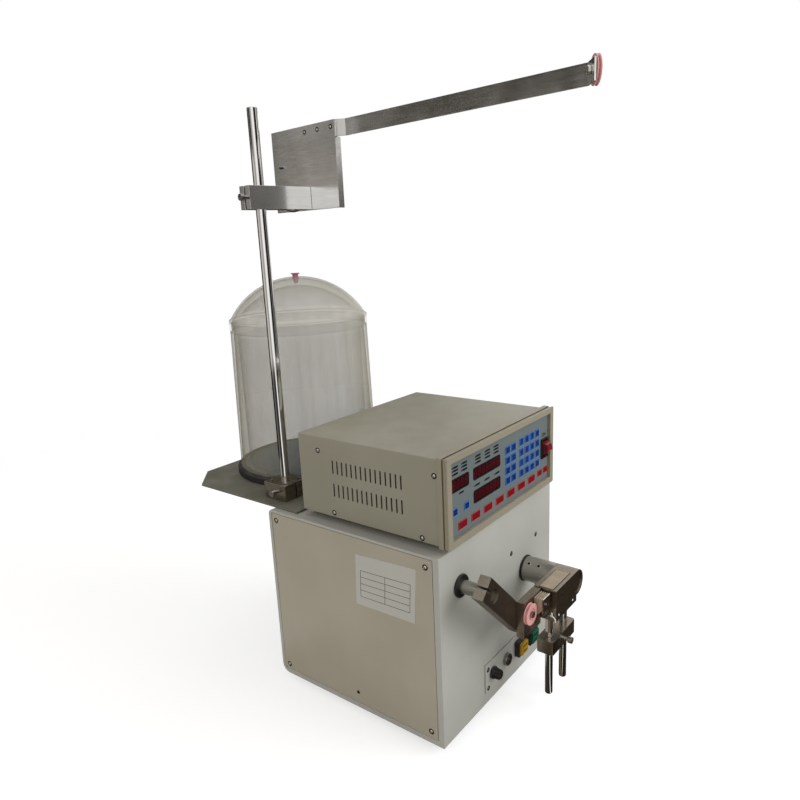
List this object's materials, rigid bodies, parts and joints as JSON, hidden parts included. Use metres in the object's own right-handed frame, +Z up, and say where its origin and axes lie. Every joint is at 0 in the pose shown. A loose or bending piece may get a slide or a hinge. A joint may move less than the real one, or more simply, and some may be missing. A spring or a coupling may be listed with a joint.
{
  "type": "wire coil winding machine",
  "caption": "Bench coil winder: spindle cabinet with wire traverse and winding tool, keypad control box on top, pillar with overhead guide arm and a lidded wire tank behind.",
  "frame": {"origin": "centre of the machine's overall footprint, on the bench surface", "axes": "+Z up along the pillar, +X to the right along the cabinet's front, +Y to the rear"},
  "size_m": [0.343, 0.759, 0.934],
  "materials": {
    "cabinet_paint": "fine satin powder coat",
    "panel_paint": "fine satin powder coat",
    "case_paint": "satin",
    "plate_paint": "satin",
    "bezel_plastic": "matte moulded",
    "membrane": "matte film",
    "black_plastic": "matte",
    "rubber": "matte",
    "chrome": "polished",
    "steel": "brushed lengthwise",
    "nickel": "ground and plated",
    "ceramic": "polished",
    "khaki": "matte",
    "felt": "felt",
    "tank_plastic": "milky, see-through",
    "display": "dark red filter",
    "red_plastic": "gloss",
    "yellow_plastic": "gloss",
    "green_plastic": "gloss"
  },
  "bodies": {
    "stand": {"cabinet_shell": "cabinet_paint", "side_panel_left": "panel_paint", "side_panel_right": "panel_paint", "foot_front_left": "rubber", "foot_front_right": "rubber", "foot_rear_left": "rubber", "foot_rear_right": "rubber", "power_inlet": "black_plastic", "spindle_bushing": "black_plastic", "traverse_bushing": "black_plastic", "base_plate": "plate_paint", "pillar_block": "nickel", "pillar_clamp_screw": "chrome", "pillar_rod": "chrome", "tank_base": "rubber", "tank_felt": "felt", "tank_wall": "tank_plastic", "controller_case": "case_paint", "controller_rear_panel": "case_paint", "controller_foot_front_left": "rubber", "controller_foot_front_right": "rubber", "controller_foot_rear_left": "rubber", "controller_foot_rear_right": "rubber", "controller_bezel": "bezel_plastic", "membrane_panel": "membrane", "display_count": "display", "display_upper": "display", "display_lower": "display", "rocker_housing": "black_plastic", "control_strip": "panel_paint", "socket_ring": "chrome", "yellow_housing": "black_plastic", "green_housing": "black_plastic"},
    "traverse": {"traverse_shaft": "chrome", "traverse_arm": "nickel", "guide_bar": "nickel", "guide_axle": "chrome", "wire_pad": "khaki"},
    "traverse_pulley": {"guide_pulley": "ceramic"},
    "winding_tool": {"spindle_sleeve": "nickel", "tool_block": "nickel", "tool_cover": "khaki", "rod_left": "chrome", "rod_right": "chrome"},
    "sliding_block": {"lower_block": "nickel", "lower_clamp_screw": "chrome"},
    "overhead_bracket": {"bracket_bar": "steel", "bracket_screw": "chrome", "guide_plate": "steel", "guide_arm": "steel", "tip_axle": "chrome"},
    "overhead_pulley": {"tip_pulley": "ceramic"},
    "lid": {"tank_lid": "tank_plastic", "tank_eyelet": "ceramic"},
    "speed_knob": {"knob": "black_plastic"},
    "yellow_push": {"yellow_button": "yellow_plastic"},
    "green_push": {"green_button": "green_plastic"},
    "power_rocker": {"rocker": "red_plastic"}
  },
  "joints": [
    {"name": "traverse_slide", "type": "slide", "parent": "stand", "child": "traverse", "axis": [0, -1, 0], "range_m": [-0.028, 0.06]},
    {"name": "guide_pulley_spin", "type": "hinge", "parent": "traverse", "child": "traverse_pulley", "pos_m": [-0.045, -0.27408, 0.1909], "axis": [0, -1, 0], "continuous": true},
    {"name": "spindle_turn", "type": "hinge", "parent": "stand", "child": "winding_tool", "pos_m": [0.0789, -0.22698, 0.1908], "axis": [0, -1, 0], "range_deg": [0, 235]},
    {"name": "lower_block_slide", "type": "slide", "parent": "winding_tool", "child": "sliding_block", "axis": [0, 0, 1], "range_m": [-0.06, 0.01]},
    {"name": "bracket_swing", "type": "hinge", "parent": "stand", "child": "overhead_bracket", "pos_m": [-0.1175, 0.15212, 0.8035], "axis": [0, 0, 1], "range_deg": [-150, 150]},
    {"name": "tip_pulley_spin", "type": "hinge", "parent": "overhead_bracket", "child": "overhead_pulley", "pos_m": [-0.08176, -0.36388, 0.90355], "axis": [0.6229, -0.7823, 0], "continuous": true},
    {"name": "lid_lift", "type": "slide", "parent": "stand", "child": "lid", "axis": [0, 0, 1], "range_m": [0, 0.095]},
    {"name": "knob_turn", "type": "hinge", "parent": "stand", "child": "speed_knob", "pos_m": [-0.0351, -0.20698, 0.06], "axis": [0, -1, 0], "range_deg": [0, 300]},
    {"name": "yellow_press", "type": "slide", "parent": "stand", "child": "yellow_push", "axis": [0, 1, 0], "range_m": [0, 0.003], "stiffness_N_per_m": 800},
    {"name": "green_press", "type": "slide", "parent": "stand", "child": "green_push", "axis": [0, 1, 0], "range_m": [0, 0.003], "stiffness_N_per_m": 800},
    {"name": "rocker_tilt", "type": "hinge", "parent": "stand", "child": "power_rocker", "pos_m": [0.1335, -0.20288, 0.3864], "axis": [1, 0, 0], "range_deg": [0, 24]}
  ]
}
